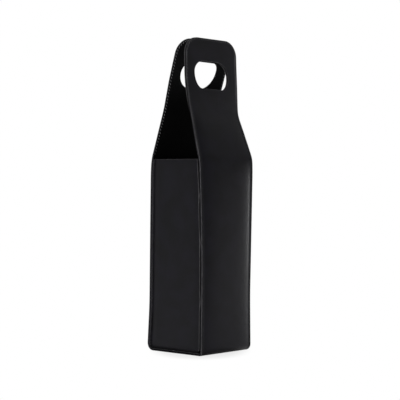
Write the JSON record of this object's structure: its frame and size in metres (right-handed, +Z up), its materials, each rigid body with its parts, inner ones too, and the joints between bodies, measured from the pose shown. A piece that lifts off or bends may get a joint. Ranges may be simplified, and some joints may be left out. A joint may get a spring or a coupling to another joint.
{
  "type": "bottle carrier",
  "caption": "Tall box-shaped leatherette carrier for a single bottle, with side gussets sewn edge-out and leaning hinged top flaps that have cut-out hand grips.",
  "frame": {"origin": "middle of the underside of the base, on the surface that the carrier stands on", "axes": "+Z up, +X across the strip to the right seen from the front, +Y to the back; the front panel faces -Y"},
  "size_m": [0.09, 0.09, 0.3886],
  "materials": {
    "leatherette": "black, fine grain, satin",
    "lining": "black, matt",
    "stiffener_board": "grey-brown fibreboard, matt",
    "thread": "black polyester sewing thread"
  },
  "bodies": {
    "carrier_body": {"outer_wrap": "leatherette", "front_board": "stiffener_board", "base_board": "stiffener_board", "rear_board": "stiffener_board", "lining_wrap": "lining", "left_gusset": "leatherette", "left_gusset_board": "stiffener_board", "left_gusset_lining": "lining", "right_gusset": "leatherette", "right_gusset_board": "stiffener_board", "right_gusset_lining": "lining", "left_seam_thread": "thread", "left_seam_bobbin_thread": "thread", "right_seam_thread": "thread", "right_seam_bobbin_thread": "thread"},
    "front_flap": {"front_flap_skin": "leatherette", "front_flap_board": "stiffener_board", "front_flap_lining": "lining", "front_flap_thread": "thread", "front_flap_bobbin_thread": "thread"},
    "rear_flap": {"rear_flap_skin": "leatherette", "rear_flap_board": "stiffener_board", "rear_flap_lining": "lining", "rear_flap_thread": "thread", "rear_flap_bobbin_thread": "thread"}
  },
  "joints": [
    {"name": "front_flap_fold", "type": "hinge", "parent": "carrier_body", "child": "front_flap", "pos_m": [0, -0.0438, 0.241], "axis": [1, 0, 0], "range_deg": [-1.5, 110], "stiffness_Nm_per_rad": 0.12, "springref_deg": 2.58},
    {"name": "rear_flap_fold", "type": "hinge", "parent": "carrier_body", "child": "rear_flap", "pos_m": [0, 0.0438, 0.241], "axis": [-1, 0, 0], "range_deg": [-1.5, 110], "stiffness_Nm_per_rad": 0.12, "springref_deg": 3.44}
  ]
}
